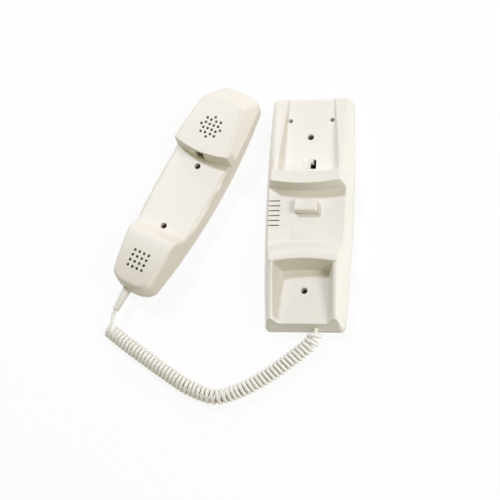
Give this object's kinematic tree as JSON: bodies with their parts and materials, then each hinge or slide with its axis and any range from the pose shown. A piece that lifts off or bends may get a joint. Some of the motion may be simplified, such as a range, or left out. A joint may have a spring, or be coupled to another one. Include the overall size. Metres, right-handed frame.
{
  "type": "audio intercom handset",
  "caption": "Wall intercom: long cradle with two cross ridges, door button and sound slots, and a bowed handset laid beside it on a curly cord.",
  "frame": {"origin": "middle of the cradle's back face", "axes": "+X across the cradle to the right, +Y along the cradle to its ear end, +Z out of the wall"},
  "size_m": [0.2099, 0.2857, 0.0443],
  "materials": {
    "ivory_plastic": "satin moulded",
    "cord_plastic": "soft satin",
    "plate_plastic": "matt moulded",
    "black_plastic": "matt",
    "board_plastic": "satin",
    "rubber": "matt",
    "steel": "zinc plated"
  },
  "bodies": {
    "cradle": {"wall_plate": "plate_plastic", "base_cover": "ivory_plastic", "cover_screws": "steel", "hook_tab": "ivory_plastic", "circuit_board": "board_plastic", "board_screws": "steel", "terminal_block": "board_plastic", "terminal_screws": "steel", "sounder": "black_plastic", "sounder_ring": "steel", "hook_switch": "black_plastic", "door_switch": "black_plastic", "lever_pin": "steel", "cord_grommet": "rubber", "button_spring": "steel", "lever_spring": "steel", "curly_cord": "cord_plastic", "cord_tail": "cord_plastic"},
    "button": {"door_button": "ivory_plastic"},
    "hook": {"hook_lever": "ivory_plastic"},
    "handset": {"handset_face": "ivory_plastic", "handset_back": "ivory_plastic", "handset_screws": "steel", "receiver": "black_plastic", "receiver_gasket": "rubber", "microphone": "steel", "microphone_boot": "rubber", "cord_sleeve": "cord_plastic"}
  },
  "joints": [
    {"name": "handset_lift", "type": "slide", "parent": "cradle", "child": "handset", "axis": [0, 0, 1], "range_m": [0, 0.1], "deforming": ["curly_cord", "cord_tail"]},
    {"name": "button_press", "type": "slide", "parent": "cradle", "child": "button", "axis": [0, 0, -1], "range_m": [0, 0.0025], "stiffness_N_per_m": 300, "springref_m": -0.002, "deforming": ["button_spring"]},
    {"name": "hook_press", "type": "hinge", "parent": "cradle", "child": "hook", "pos_m": [-0.00115, 0.0269, 0.0088], "axis": [-1, 0, 0], "range_deg": [0, 15], "stiffness_Nm_per_rad": 0.05, "springref_deg": -17.19, "deforming": ["lever_spring"]}
  ]
}
